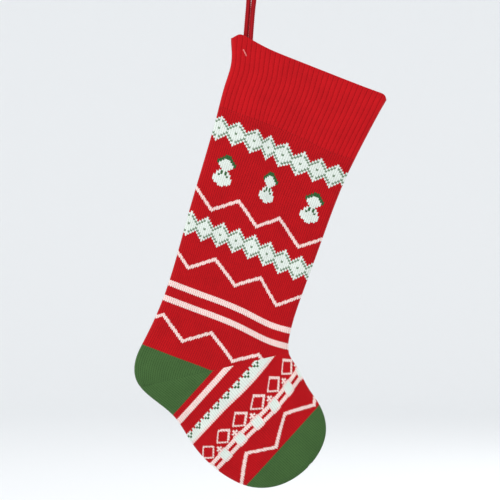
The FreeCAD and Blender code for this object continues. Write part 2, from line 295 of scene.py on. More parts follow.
def lengthen(line, reach):
    """The same line, carried on straight at both ends."""
    start = line[0] + (line[0] - line[1]) / np.linalg.norm(line[0] - line[1]) * reach
    end = line[-1] + (line[-1] - line[-2]) / np.linalg.norm(line[-1] - line[-2]) * reach
    return np.vstack([start, line, end])


EDGE_LINE = lengthen(smooth_line(EDGE_POINTS, 0.5), 8.0)
print("outline: %.0f mm round" % np.linalg.norm(np.diff(EDGE_LINE, axis=0), axis=1).sum())

# %% [markdown]
# ## Rows of knitting
#
# The leg's rows run across the leg, a little downhill towards the instep. At the ankle the rows get
# shorter one by one and then longer again, which is how a heel is turned. The two sets of rows meet
# on a slanting line from the heel's corner to the instep, and the foot's rows start there in a new
# direction. Each row's two ends are found where it meets the outline, and its stitches are spread
# evenly between them.

# %% Rows and columns of stitches
LEG_STITCHES = 64
FOOT_STITCHES = 58
ROW = 2.106
LEG_ROWS = 186
FIRST_FOOT_ROW = -45
FOOT_ROWS = 91
TAPER_ROW = 24               # from here to the toe's tip the columns of stitches stay parallel
TOP_MIDDLE = np.array([68.4, -4.7])
CREASE = np.array([147.2, -304.2])
SUTURE_LENGTH = 166.0        # of the short-row line, from the crease to the heel


def unit(degrees):
    return np.array([math.cos(math.radians(degrees)), math.sin(math.radians(degrees))])


LEG_ROW = unit(-3.7)
SUTURE = unit(31.1)
FOOT_ROW = unit(65.9)
FOOT_AXIS = np.array([FOOT_ROW[1], -FOOT_ROW[0]])


def crossings(origin, along):
    """Where a line meets the outline, as distances along it from its origin."""
    side = (EDGE_LINE - origin) @ np.array([-along[1], along[0]])
    hit = np.nonzero(side[:-1] * side[1:] <= 0)[0]
    share = side[hit] / (side[hit] - side[hit + 1])
    places = EDGE_LINE[hit] + (EDGE_LINE[hit + 1] - EDGE_LINE[hit]) * share[:, None]
    return (places - origin) @ along


CREASE_EDGE = EDGE_LINE[np.linalg.norm(EDGE_LINE - CREASE, axis=1).argmin()]


def leg_origin(row):
    return TOP_MIDDLE + np.array([0.0, -row * ROW])


def foot_origin(row):
    return CREASE + FOOT_AXIS * row * ROW


def leg_row_ends():
    """Both ends of the leg's rows. Below the crease the instep end goes on straight down."""
    rows = np.arange(-1.0, LEG_ROWS + 1.5, 0.5)
    ends = []
    for row in rows:
        origin = leg_origin(row)
        met = crossings(origin, LEG_ROW)
        below_crease = (CREASE_EDGE[0] - origin[0]) / LEG_ROW[0]
        above = (origin + LEG_ROW * below_crease)[1] > CREASE_EDGE[1]
        ends.append((met.min(), met.max() if above else below_crease))
    return rows, np.array(ends)


def foot_row_ends():
    """Both ends of the foot's rows. Before the crease the instep end lies on the short-row line."""
    tip = ((EDGE_LINE - CREASE) @ FOOT_AXIS).max() / ROW - 0.02
    rows = np.append(np.arange(FIRST_FOOT_ROW, tip, 0.25), tip)
    limit = (CREASE_EDGE - CREASE) @ FOOT_ROW
    ends = []
    for row in rows:
        met = crossings(foot_origin(row), FOOT_ROW)
        ends.append((met.min(), met.max() if row > 0 else limit))
    return rows, np.array(ends)


LEG_ENDS = leg_row_ends()
FOOT_ENDS = foot_row_ends()
print("foot tapers to its tip at row %.1f" % FOOT_ENDS[0][-1])

# %% [markdown]
# The rows aren't quite straight. The fabric has stretched where it is handled and hangs, so a band
# that goes across the leg bows up a little near the heel side and dips before the instep side. The
# loop pulls the mouth's edge up beside it, and under the cuff a soft fold runs straight down, where
# the stitches stand closer together. The upper chain of diamonds, knitted with two yarns at once,
# draws up a little. On the foot the rows bow towards the toe. A few heights across the rows, joined
# by the same smooth line as the outline, are enough for all of these.

# %% Places in the knitting
ROW_LENGTH = 180.0           # the next three lists count millimetres along the mouth
BOW = smooth_line(np.array([(0, 0), (45, 0.6), (81, 1.3), (117, 0.2), (153, -2.0), (180, 0)]), 1.0)
CHAIN_BOW = smooth_line(np.array([
    (0, 2.3), (30, 2.9), (52, 2.5), (71, 1.5), (93, 0), (114, -1.7), (136, 0.6), (160, 1.5), (180, 1.5),
]), 1.0)
MOUTH_EDGE = smooth_line(np.array([
    (0, -2.6), (3.5, 0.8), (7.5, 4.4), (12, 5.2), (20, 4.3), (28, 3.2), (40, 1.9), (60, 1.3), (90, 1.4),
    (140, 1.5), (170, 2.2), (177, 1.2), (180, -2.4),
]), 0.5)
FOLD_X = 57.0                # the fold's place at the upper diamonds
FOLD_Z = -104.0
FOLD_REACH = 13.0
FOLD_PULL = 0.32             # how much closer the stitches stand in it
FOOT_ROW_LENGTH = 130.0      # and the last one along a row of the foot
FOOT_BOW = smooth_line(np.array([
    (0, -0.8), (10, -0.7), (29, -0.35), (52, 0.65), (76, 2.7), (100, 2.4), (120, 0.7), (130, -0.6),
]), 1.0)
FOOT_STRETCH = 0.09          # how much wider the stitches stand along the middle of the foot


def smooth_step(value):
    value = np.clip(value, 0, 1)
    return value * value * (3 - 2 * value)


def height_at(bow, place):
    return np.interp(place, bow[:, 0], bow[:, 1])


def fold(x, z):
    """Distance from the soft fold under the cuff, and how strong the fold is at that height."""
    off = (x - FOLD_X + (z - FOLD_Z) * math.tan(HANG_TILT)) / FOLD_REACH
    strength = smooth_step((-z - 55) / 40) * (1 - smooth_step((-z - 150) / 35))
    return off, strength


def leg_place(stitch, row):
    """Points of the leg's plane, kept on the leg's side of the ankle."""
    rows, ends = LEG_ENDS
    low = np.interp(row, rows, ends[:, 0])
    high = np.interp(row, rows, ends[:, 1])
    share = stitch / LEG_STITCHES
    reach = low + (high - low) * share
    x = TOP_MIDDLE[0] + LEG_ROW[0] * reach
    z = TOP_MIDDLE[1] - row * ROW + LEG_ROW[1] * reach
    along = share * ROW_LENGTH
    z = z + height_at(BOW, along) * smooth_step(row / 40)
    z = z + height_at(MOUTH_EDGE, along) * (1 - smooth_step(row / 9))
    near_chain = smooth_step((row - 36) / 8) * (1 - smooth_step((row - 52) / 8))
    z = z + height_at(CHAIN_BOW, along) * near_chain
    off, strength = fold(x, z)
    x = x - FOLD_PULL * FOLD_REACH * strength * off * np.exp(-off ** 2 / 2)
    limit = CREASE[1] + (x - CREASE[0]) * SUTURE[1] / SUTURE[0]
    return np.stack([x, np.maximum(z, limit)], axis=-1)


def foot_place(stitch, row):
    """Points of the foot's plane, kept inside the toe and on the foot's side of the ankle."""
    rows, ends = FOOT_ENDS
    row = np.minimum(row, rows[-1])
    low = np.interp(row, rows, ends[:, 0])
    high = np.interp(row, rows, ends[:, 1])
    held = np.minimum(row, TAPER_ROW)
    held_low = np.interp(held, rows, ends[:, 0])
    held_high = np.interp(held, rows, ends[:, 1])
    share = stitch / FOOT_STITCHES
    share = share - FOOT_STRETCH * np.sin(2 * math.pi * share) / (2 * math.pi)
    reach = held_low + (held_high - held_low) * share
    reach = np.clip(reach, low, high)
    among_figures = smooth_step((row + 17) / 15) * (1 - smooth_step((row - 12) / 17))
    bow = height_at(FOOT_BOW, share * FOOT_ROW_LENGTH) * among_figures
    slope = (SUTURE @ FOOT_AXIS) / (SUTURE @ FOOT_ROW)
    run = np.maximum(row * ROW + bow, reach * slope)
    return CREASE + reach[..., None] * FOOT_ROW + run[..., None] * FOOT_AXIS


print("stitch width %.2f mm" % (leg_place(np.array(33.0), np.array(80.0))
                                - leg_place(np.array(32.0), np.array(80.0)))[0])

# %% [markdown]
# ## From flat to soft
#
# An empty stocking is two limp layers that touch at the edge and stand a little apart between. The
# outer surface is round near the edge and almost flat further in, with shallow swellings where the
# yarn pulls unevenly. The distance from the edge gives all of this: the nearest point of the outline
# is looked up for every vertex, and the surface leans outwards there.

# %% Soft shape of the two faces
EDGE_ROUND = 7.5             # the surface turns round the edge within this distance
HALF_DEPTH = 4.7             # from the middle plane to the outer surface, near the edge
SWELL = 2.0                  # and this much more in the middle of the leg
RIPPLE = 0.75                # the uneven swelling's height
FOLD_DEPTH = 1.5
ANKLE_DIP = 0.45             # a shallow line where the two sets of rows meet
ANKLE_DIP_REACH = 1.6
LAYER = 1.7                  # thickness of one layer

edge_tree = KDTree(len(EDGE_LINE))
for number, (x, z) in enumerate(EDGE_LINE):
    edge_tree.insert((x, z, 0), number)
edge_tree.balance()


def nearest_edge(points):
    """Distance of each point from the outline, and the direction away from it."""
    number = np.array([edge_tree.find((x, z, 0))[1] for x, z in points])
    best = np.full(len(points), np.inf)
    away = np.zeros_like(points)
    for first in (number - 1, number):
        first = np.clip(first, 0, len(EDGE_LINE) - 2)
        start, end = EDGE_LINE[first], EDGE_LINE[first + 1]
        side = end - start
        share = np.clip(((points - start) * side).sum(1) / (side ** 2).sum(1), 0, 1)
        offset = points - (start + side * share[:, None])
        distance = np.linalg.norm(offset, axis=1)
        inward = np.stack([-side[:, 1], side[:, 0]], axis=1) / np.linalg.norm(side, axis=1)[:, None]
        outside = (offset * inward).sum(1) < 0
        distance = np.where(outside & (share > 0) & (share < 1), 0.0, distance)
        nearer = distance < best
        best = np.where(nearer, distance, best)
        outwards = offset / np.maximum(distance, 1e-9)[:, None]
        direction = np.where(distance[:, None] > 0.05, outwards, inward)
        away = np.where(nearer[:, None], direction, away)
    return best, away


def ripple(x, z):
    """Slow uneven swelling, between about -1 and 1."""
    return (np.sin(x / 17.0 + z / 41.0 + 0.6) * 0.40 + np.sin(z / 23.0 - x / 31.0) * 0.35
            + np.sin(x / 9.0 - z / 13.0 + 2.0) * 0.15 + np.sin(z / 8.5 + 1.1) * 0.10)


def middle_plane(x, z):
    """How far the limp stocking's middle wanders to the front or the back."""
    down = smooth_step(-z / 150.0)
    return down * (1.8 * np.sin(-z / 88.0 + 0.5) - 2.2 * smooth_step((x - 120.0) / 80.0))


def soft_surface(points, side):
    """Outer surface of one face (side -1 front, +1 back) with its outward direction."""
    distance, away = nearest_edge(points)
    x, z = points[:, 0], points[:, 1]
    turn = np.clip(distance / EDGE_ROUND, 0, 1)
    round_part = np.sqrt(np.maximum(1 - (1 - turn) ** 2, 0))
    slope = HALF_DEPTH / EDGE_ROUND * (1 - turn) / np.maximum(round_part, 0.03)
    inside = smooth_step((distance - 2.0) / 38.0) * smooth_step((-z + 10.0) / 90.0)
    depth = HALF_DEPTH * round_part + SWELL * inside
    depth = depth + RIPPLE * ripple(x, z) * smooth_step(distance / 14.0)
    off, strength = fold(x, z)
    depth = depth - FOLD_DEPTH * strength * np.exp(-off ** 2) * turn
    from_ankle = np.abs((points - CREASE) @ np.array([-SUTURE[1], SUTURE[0]]))
    depth = depth - ANKLE_DIP * np.exp(-(from_ankle / ANKLE_DIP_REACH) ** 2) * turn
    base = np.stack([x, middle_plane(x, z) + side * depth, z], axis=1)
    normal = np.stack([-slope * away[:, 0], side * np.ones(len(x)), -slope * away[:, 1]], axis=1)
    normal /= np.linalg.norm(normal, axis=1)[:, None]
    return base, normal, distance, from_ankle


def hang(points):
    """Turn points of the stocking's own frame to where they hang, in metres."""
    x, y, z = points[:, 0], points[:, 1], points[:, 2]
    turned = np.stack([
        x * math.cos(HANG_TILT) + z * math.sin(HANG_TILT), y,
        -x * math.sin(HANG_TILT) + z * math.cos(HANG_TILT),
    ], axis=1) * MM
    return turned + np.array([LOOP_CORNER[0], 0, LOOP_CORNER[1]])


print("depth in the middle of the leg: %.1f mm" % soft_surface(np.array([[70.0, -200.0]]), 1)[0][0, 1])

# %% [markdown]
# ## Ribs and Vs
#
# The cuff is knitted in rib, one column to the front and one to the back, so it stands in round
# ridges with narrow valleys. The rest is plain. The heights are added along the outward direction,
# and die away at the very edge and at the ankle's line, where neighbouring pieces meet.

# %% Grid of vertices for one knitted face
CUFF_ROWS = 36
RIB_HEIGHT = 0.95
YARN_RELIEF = 0.46
UNEVEN_PLACE = 0.035         # how far stitches stray, in stitches
UNEVEN_TIGHTNESS = 0.10
draw = np.random.default_rng(7)


def knitted_grid(place, stitches, rows, first_row, side, cuff):
    """Outer vertices of every stitch, plain inner vertices, and the relief, which the finishes turn into
    painted shade in the valleys.
    """
    column = np.arange(stitches * COLUMNS + 1)
    line = np.arange(rows * LINES + 1)
    stitch = np.broadcast_to(column / COLUMNS, (len(line), len(column)))
    row = np.broadcast_to((first_row + line / LINES)[:, None], stitch.shape)
    from_top = smooth_step(row / 2.0) if cuff else 1.0
    slanted = row + YARN_SLANT[column % COLUMNS] * from_top
    uneven = draw.normal(0, UNEVEN_PLACE, (2,) + stitch.shape)
    loose = np.clip(np.minimum(stitch, stitches - stitch), 0, 1)
    flat = place(stitch + uneven[0] * loose, slanted + uneven[1] * from_top).reshape(-1, 2)
    base, normal, distance, from_ankle = soft_surface(flat, side)
    relief = np.outer(ROW_DIP[line % LINES], YARN_HEIGHT[column % COLUMNS])
    tightness = draw.normal(1.0, UNEVEN_TIGHTNESS, (rows + 1, stitches + 1))
    relief = relief * tightness[line // LINES][:, column // COLUMNS]
    height = YARN_RELIEF * relief
    if cuff:
        rib = np.sqrt(np.abs(np.sin(math.pi * column / COLUMNS / 2)))
        ribbed = smooth_step((CUFF_ROWS + 0.5 - row) / 1.5) * (0.3 + 0.7 * smooth_step((row - 1) / 4))
        height = height * (1 - 0.5 * ribbed) + RIB_HEIGHT * ribbed * (rib[None, :] - 0.35)
        # Here only the relief for the finishes changes: it puts painted shade in the valleys between the
        # ribs.
        relief = relief * (1 - 0.5 * ribbed) + ribbed * (0.12 + 0.38 * rib[None, :])
        height = np.where(row < 0.25, -0.35, height)
    fade = smooth_step(distance / 1.3) * smooth_step(from_ankle / 1.2)
    height = height * fade.reshape(height.shape)
    outer = base + normal * height.reshape(-1, 1)
    thin = np.where(row < 0.25, 0.5 * LAYER, LAYER) if cuff else np.full(row.shape, LAYER)
    inner = base - normal * thin.reshape(-1, 1)
    shape = (len(line), len(column), 3)
    return {
        "outer": hang(outer).reshape(shape),
        "inner": hang(inner).reshape(shape)[:, ::CELL],
        "relief": relief, "stitch": stitch, "row": row, "side": side,
    }


grids = {}
for side_name, side in (("front", -1), ("back", 1)):
    grids["leg", side_name] = knitted_grid(leg_place, LEG_STITCHES, LEG_ROWS, 0, side, True)
    grids["foot", side_name] = knitted_grid(
        foot_place, FOOT_STITCHES, FOOT_ROWS, FIRST_FOOT_ROW, side, False)
print("vertices on each face:", sum(grids[part, "front"]["outer"].size // 3 for part in ("leg", "foot")))

# %% [markdown]
# ## The chart
#
# A machine knitter reads a chart: a grid with one square for each stitch, marked with its yarn. The
# same is done here. Every square holds the name of the piece that the stitch belongs to, and each
# figure is painted over the ground, from the cuff down and from the ankle to the toe. Lines that
# slant steeply are painted after every square has been split into its cells, so they run smoothly.

# %% Figures on the leg
DIAMONDS = {"diamond_chain_upper": (41, 2), "diamond_chain_lower": (91, 1)}
# Each zigzag: its first row, and the stitches at which it turns, starting from an upper turn.
LEG_ZIGZAGS = {
    "zigzag_upper": (77, (-1, 10.1, 21.1, 32.8, 42.2, 54.6, 66)),
    "zigzag_middle": (109, (-4, 7.1, 18.6, 31.5, 42.3, 53.8, 65)),
    "zigzag_lower": (145, (-20, -8, 3, 16, 26.8, 40.5, 50.8, 64)),
}
LEG_STRIPES = {"stripe_upper": 128, "stripe_lower": 136}
STRIPE_ROWS = 3
DIAMOND_WIDTH = 8
DIAMOND_ROWS = 13
ZIGZAG_DROP = 9
HEEL_ROW = 164
SNOWMAN_ROW = 58
SNOWMAN_MIDDLES = (10, 32, 54)
SNOWMAN = [
    "...hhh...",
    "..hhhhh..",
    ".hhbbbhh.",
    "hhbbbbbhh",
    "hbbbbbbbh",
    ".bbbbbbb.",
    "..bbbbb..",
    "...bbb...",
    "..bdbdb..",
    ".bbdbdbb.",
    ".bdbbbdb.",
    "bbbbbbbbb",
    "bbbbbbbbb",
    "bbbbbbbbb",
    ".bbbbbbb.",
    "...bbb...",
]
SNOWMAN_YARN = {"h": "snowman_hats", "b": "snowman_bodies", "d": "snowman_dots"}


def paint_zigzag(chart, name, first_row, turns):
    """A line two rows thick that goes down and up again between its turns."""
    for leg in range(chart.shape[1]):
        down = np.interp((leg + 0.5) / CELLS, turns, np.arange(len(turns)) % 2)
        line = round(LINES * (first_row + ZIGZAG_DROP * down))
        chart[line:line + 2 * LINES, leg] = name


def in_cells(chart):
    """The same chart with one square for each cell instead of each stitch."""
    return np.repeat(np.repeat(chart, LINES, axis=0), CELLS, axis=1)


def from_middle(place, middle, width):
    """Distance to the nearest middle of a figure that repeats at an even width."""
    return abs((place - middle + width / 2) % width - width / 2)


def paint_diamonds(chart, name, first_row, middle):
    """Filled diamonds side by side, outlined twice: in the light yarn and in dots."""
    for row in range(DIAMOND_ROWS):
        reach = min(row, DIAMOND_ROWS - 1 - row)
        for stitch in range(chart.shape[1]):
            off = from_middle(stitch, middle, DIAMOND_WIDTH)
            centre = off == 0 and reach == DIAMOND_ROWS // 2
            if centre or 0 < off == reach - 1:
                chart[first_row + row, stitch] = "diamond_dots"
            elif off <= reach:
                chart[first_row + row, stitch] = name


def leg_chart():
    chart = np.full((LEG_ROWS, LEG_STITCHES), "leg", dtype=object)
    chart[:CUFF_ROWS] = "cuff"
    chart[HEEL_ROW:] = "heel_upper"
    for name, (row, middle) in DIAMONDS.items():
        paint_diamonds(chart, name, row, middle)
    for name, row in LEG_STRIPES.items():
        chart[row:row + STRIPE_ROWS] = name
    for middle in SNOWMAN_MIDDLES:
        for down, squares in enumerate(SNOWMAN):
            for over, mark in enumerate(squares):
                if mark in SNOWMAN_YARN:
                    left = middle - len(squares) // 2
                    chart[SNOWMAN_ROW + down, left + over] = SNOWMAN_YARN[mark]
    chart = in_cells(chart)
    for name, (row, turns) in LEG_ZIGZAGS.items():
        paint_zigzag(chart, name, row, turns)
    return chart


# %% Figures on the foot
HEEL_END = -23
FOOT_STRIPE = -20
TREE_BAND = -11
OPEN_DIAMONDS = -1
DASH_BAND = 8
ZIGZAG_FOOT = 17
ZIGZAG_FOOT_TURNS = (-14, 0.5, 15.8, 26.7, 40.2, 54.5, 68)
TOE_ROW = 29
TREE_WIDTH = 6
FIRST_TREE = 7
FOOT_WIDTH = 10              # stitches from one open diamond, sprig or dash to the next
FIRST_MIDDLE = 3.6           # the first open diamond's and the first dash's middle
FIRST_SPRIG = 8
DIAMOND_RING = (3.2, 4.4)    # inner and outer half diagonal of an open diamond, in stitches
DASH_REACH = 2.6             # half a dash
BLOCK_REACH = 3.1            # from the middle of a dash to the next pale block


def paint_dashes(chart, leg, off, middle_line):
    """One column of the dashed band, which is wider where it holds a pale block."""
    chart[middle_line - 5:middle_line + 6, leg] = "dash_band"
    if off < DASH_REACH:
        chart[middle_line - 1:middle_line + 2, leg] = "foot"
    elif off > BLOCK_REACH:
        chart[[middle_line - 6, middle_line + 6], leg] = "dash_band"
        chart[middle_line - 4:middle_line + 5, leg] = "dash_blocks"


def foot_chart():
    chart = np.full((FOOT_ROWS, FOOT_STITCHES), "foot", dtype=object)

    def rows(first, count):
        return slice(first - FIRST_FOOT_ROW, first - FIRST_FOOT_ROW + count)

    chart[:HEEL_END - FIRST_FOOT_ROW] = "heel_lower"
    chart[TOE_ROW - FIRST_FOOT_ROW:] = "toe"
    chart[rows(FOOT_STRIPE, STRIPE_ROWS)] = "foot_stripe"
    chart[rows(TREE_BAND, 5)] = "tree_band"
    chart[rows(TREE_BAND + 5, 1)] = "tree_edge"
    for stitch in range(FOOT_STITCHES):
        tree = from_middle(stitch, FIRST_TREE, TREE_WIDTH)
        if tree == 2:
            chart[rows(TREE_BAND, 1), stitch] = "foot"
        if tree == 1:
            chart[rows(TREE_BAND + 1, 1), stitch] = "tree_marks"
        if tree == 0:
            chart[rows(TREE_BAND + 2, 1), stitch] = "tree_marks"
        sprig = from_middle(stitch, FIRST_SPRIG, FOOT_WIDTH)
        if sprig == 0:
            chart[rows(OPEN_DIAMONDS + 6, 3), stitch] = "sprigs"
        if sprig == 1:
            chart[rows(OPEN_DIAMONDS + 7, 1), stitch] = "sprigs"
    chart = in_cells(chart)
    paint_zigzag(chart, "zigzag_foot", ZIGZAG_FOOT - FIRST_FOOT_ROW, ZIGZAG_FOOT_TURNS)
    dash_line = (DASH_BAND + 2 - FIRST_FOOT_ROW) * LINES + 1
    diamond_line = (OPEN_DIAMONDS + 4 - FIRST_FOOT_ROW) * LINES + 1
    for leg in range(chart.shape[1]):
        off = from_middle((leg + 0.5) / CELLS, FIRST_MIDDLE, FOOT_WIDTH)
        paint_dashes(chart, leg, off, dash_line)
        for down in range(-9, 9):
            if DIAMOND_RING[0] < off + abs(down + 0.5) / LINES < DIAMOND_RING[1]:
                chart[diamond_line + down, leg] = "open_diamonds"
    return chart


charts = {"leg": leg_chart(), "foot": foot_chart()}
print("cells in each piece of the leg:", {name: int((charts["leg"] == name).sum())
                                          for name in sorted(set(charts["leg"].ravel()))})

# %% [markdown]
# ## Cutting the pieces
#
# A piece is all the cells with one name. Each cell brings its two small outer faces and one plain
# inner face, and where its neighbour belongs to another piece, a rim closes the thickness of the
# layer. So every piece is a closed body of its own, and all of them fit together like the real
# yarns do, because they share the places of their vertices.

# %% Make a piece from its squares of the chart
SMALLEST_CELL = 0.01e-6      # square metres


def used_cells(part, side_name, name):
    """The cells with one name, without those cut away at the ankle or the toe."""
    corner = grids[part, side_name]["outer"][:, ::CELL]
    first = corner[1:, 1:] - corner[:-1, :-1]
    second = corner[1:, :-1] - corner[:-1, 1:]
    areas = np.linalg.norm(np.cross(first, second), axis=2) / 2
    return (charts[part] == name) & (areas > SMALLEST_CELL)


def piece_faces(grid, cells):
    """Faces of the chosen cells, as numbers of the grid's vertices: outer first, then inner."""
    wide = grid["outer"].shape[1]
    inner_wide = grid["inner"].shape[1]
    inner_start = grid["outer"].shape[0] * wide
    padded = np.pad(cells, 1)
    faces = []
    for line, cell in zip(*np.nonzero(cells)):
        top = [line * wide + cell * CELL + k for k in range(CELL + 1)]
        bottom = [number + wide for number in top]
        a = inner_start + line * inner_wide + cell
        b, c, d = a + 1, a + inner_wide + 1, a + inner_wide
        for k in range(CELL):
            faces.append((top[k], bottom[k], bottom[k + 1], top[k + 1]))
        faces.append((a, b, c, d))
        if not padded[line, cell + 1]:
            faces.append((*top, b, a))
        if not padded[line + 2, cell + 1]:
            faces.append((*bottom[::-1], d, c))
        if not padded[line + 1, cell]:
            faces.append((bottom[0], top[0], a, d))
        if not padded[line + 1, cell + 2]:
            faces.append((top[-1], bottom[-1], c, b))
    if grid["side"] > 0:
        faces = [face[::-1] for face in faces]
    return faces


def knitted_piece(name, part, sides, chart_name=None):
    """One named piece of knitting, from one or both faces of the stocking."""
    vertices, relief, places, faces = [], [], [], []
    start = 0
    for side_name in sides:
        grid = grids[part, side_name]
        found = piece_faces(grid, used_cells(part, side_name, chart_name or name))
        used, renumbered = np.unique(np.concatenate(found), return_inverse=True)
        all_vertices = np.concatenate([grid["outer"].reshape(-1, 3), grid["inner"].reshape(-1, 3)])
        inner_count = grid["inner"].size // 3
        # Inner vertices get no relief, so the inner surfaces and the rims take the painted shade colour.
        all_relief = np.concatenate([grid["relief"].ravel(), np.zeros(inner_count)])
        across = np.concatenate([grid["stitch"].ravel(), grid["stitch"][:, ::CELL].ravel()])
        down = np.concatenate([grid["row"].ravel(), grid["row"][:, ::CELL].ravel()])
        vertices.append(all_vertices[used])
        relief.append(all_relief[used])
        places.append(np.stack([across[used], down[used]], axis=1))
        position = 0
        for face in found:
            faces.append(tuple(int(n) + start for n in renumbered[position:position + len(face)]))
            position += len(face)
        start += len(used)
    obj = new_mesh_object(name, np.concatenate(vertices).tolist(), faces)
    add_relief_attribute(obj, np.concatenate(relief))
    add_stitch_uv(obj, np.concatenate(places))
    return obj


# %% [markdown]
# ## Moving with the ankle
#
# The foot folds against the leg along the short-row line, and knitting doesn't crack there. A piece that
# lies outside a narrow zone on both sides of the line simply goes with its own body. A piece that reaches
# into the zone is fastened to neither body; only its place is applied to its vertices.

# %% Fasten each piece to the leg or the foot, unless it reaches the ankle
BEND_ZONE = 0.020            # half the width of the zone round the ankle's line


def row_frame_direction(flat):
    return Vector((flat[0] * math.cos(HANG_TILT) + flat[1] * math.sin(HANG_TILT), 0,
                   -flat[0] * math.sin(HANG_TILT) + flat[1] * math.cos(HANG_TILT)))


to_foot = row_frame_direction((SUTURE[1], -SUTURE[0]))
ankle = Vector(hang(np.array([[CREASE[0], 0.0, CREASE[1]]]))[0])


def fasten(obj):
    """Ride on the leg or the foot; a piece that reaches the ankle is fastened to neither, and only its
    place is applied to its vertices.
    """
    reach = np.array([(vertex.co - ankle).dot(to_foot) for vertex in obj.data.vertices])
    if reach.max() < -BEND_ZONE:
        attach(obj, "leg")
    elif reach.min() > BEND_ZONE:
        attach(obj, "foot")
    else:
        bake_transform(obj)


# %% Ground pieces, front and back
GROUND = {"cuff": ("leg", "red_yarn"), "leg": ("leg", "red_yarn"), "heel_upper": ("leg", "green_yarn"),
          "heel_lower": ("foot", "green_yarn"), "foot": ("foot", "red_yarn"), "toe": ("foot", "green_yarn")}
pieces = {}
for name, (part, yarn) in GROUND.items():
    for side_name in ("front", "back"):
        full_name = "%s_%s" % (name, side_name)
        obj = knitted_piece("knit_" + full_name, part, (side_name,), name)
        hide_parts(full_name)
        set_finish(obj, yarn)
        fasten(obj)
        pieces[full_name] = obj
        print(full_name, "has", len(obj.data.polygons), "faces")

# %% Figures, each on both faces
FIGURES = {
    "diamond_chain_upper": "leg", "diamond_chain_lower": "leg", "diamond_dots": "leg",
    "snowman_bodies": "leg", "snowman_hats": "leg", "snowman_dots": "leg", "zigzag_upper": "leg",
    "zigzag_middle": "leg", "zigzag_lower": "leg", "stripe_upper": "leg", "stripe_lower": "leg",
    "foot_stripe": "foot", "tree_band": "foot", "tree_marks": "foot", "open_diamonds": "foot",
    "tree_edge": "foot", "sprigs": "foot", "dash_band": "foot", "dash_blocks": "foot",
    "zigzag_foot": "foot",
}
GREEN_FIGURES = ("diamond_dots", "snowman_hats", "snowman_dots", "tree_marks")
for name, part in FIGURES.items():
    obj = knitted_piece("yarn_" + name, part, ("front", "back"), name)
    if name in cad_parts:
        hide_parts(name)
    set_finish(obj, "green_yarn" if name in GREEN_FIGURES else "white_yarn")
    fasten(obj)
    pieces[name] = obj
print("figures:", len(FIGURES))

# %% [markdown]
# ## Linked edges
#
# The two faces are joined on the inside, stitch by stitch, by a machine that makes a small chain
# along the edge. It can only be seen through the mouth. A plain tube with an even waist at every
# stitch is enough for it.

# %% Chains along the inside of the edge
CHAIN_RADIUS = 0.85
CHAIN_SIDES = 8
CHAIN_INSET = 2.9            # from the outline to the chain's middle
CHAIN_LINK = 2.2             # length of one stitch of the chain
LINK_RINGS = 4               # rings of vertices in one stitch
CHAIN_WAIST = 0.72           # the radius at the waist, as a share of the full one
MOUTH_GAP = 14               # points of the outline left free below each corner of the mouth
CREASE_GAP = 8               # and on each side of the crease


def edge_number(point):
    return edge_tree.find((point[0], point[1], 0))[1]


def link_shape(ring, corner):
    waist = CHAIN_WAIST + (1 - CHAIN_WAIST) * abs(math.sin(math.pi * ring / LINK_RINGS))
    return CHAIN_RADIUS * MM * waist, 0.0, waist, (corner / CHAIN_SIDES, ring / LINK_RINGS)


def linked_edge(name, first, last, material_slot):
    """A chain from one number of the outline's points to another, inside the edge."""
    flat = EDGE_LINE[first:last + 1]
    side = np.gradient(flat, axis=0)
    inward = np.stack([-side[:, 1], side[:, 0]], axis=1) / np.linalg.norm(side, axis=1)[:, None]
    flat = flat + inward * CHAIN_INSET
    line = np.stack([flat[:, 0], middle_plane(flat[:, 0], flat[:, 1]), flat[:, 1]], axis=1)
    obj = tube("linked_" + name, hang(evenly(line, CHAIN_LINK / LINK_RINGS)), CHAIN_SIDES, link_shape)
    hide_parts(name)
    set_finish(obj, material_slot)
    fasten(obj)
    pieces[name] = obj


heel_corner = edge_number(CREASE - SUTURE * SUTURE_LENGTH)
toe_start = edge_number(foot_place(np.array(0.0), np.array(float(TOE_ROW))))
toe_end = edge_number(foot_place(np.array(float(FOOT_STITCHES)), np.array(float(TOE_ROW))))
crease_number = edge_number(CREASE)
linked_edge("heel_side_seam", MOUTH_GAP, heel_corner, "red_yarn")
linked_edge("sole_seam", heel_corner, toe_start, "red_yarn")
linked_edge("toe_seam", toe_start, toe_end, "green_yarn")
linked_edge("foot_top_seam", toe_end, crease_number - CREASE_GAP, "red_yarn")
linked_edge("instep_side_seam", crease_number + CREASE_GAP, len(EDGE_LINE) - MOUTH_GAP, "red_yarn")
print("edge numbers:", heel_corner, toe_start, toe_end, crease_number, len(EDGE_LINE))

# %% [markdown]
# ## The tack
#
# One short slanting stitch of pale thread goes through the cuff and holds the loop's ends. It lies
# on the ribs, and its ends dive into the knitting. Its return lies on the back. It starts as a
# cylinder, is cut into short lengths, and is then arched in edit mode.

# %% Tack stitches
TACK_FROM = (-2.0, -9.1)
TACK_TO = (3.9, -15.3)
TACK_RADIUS = 0.0007
TACK_LENGTHS = 16            # short lengths that the thread is cut into, so that it can arch


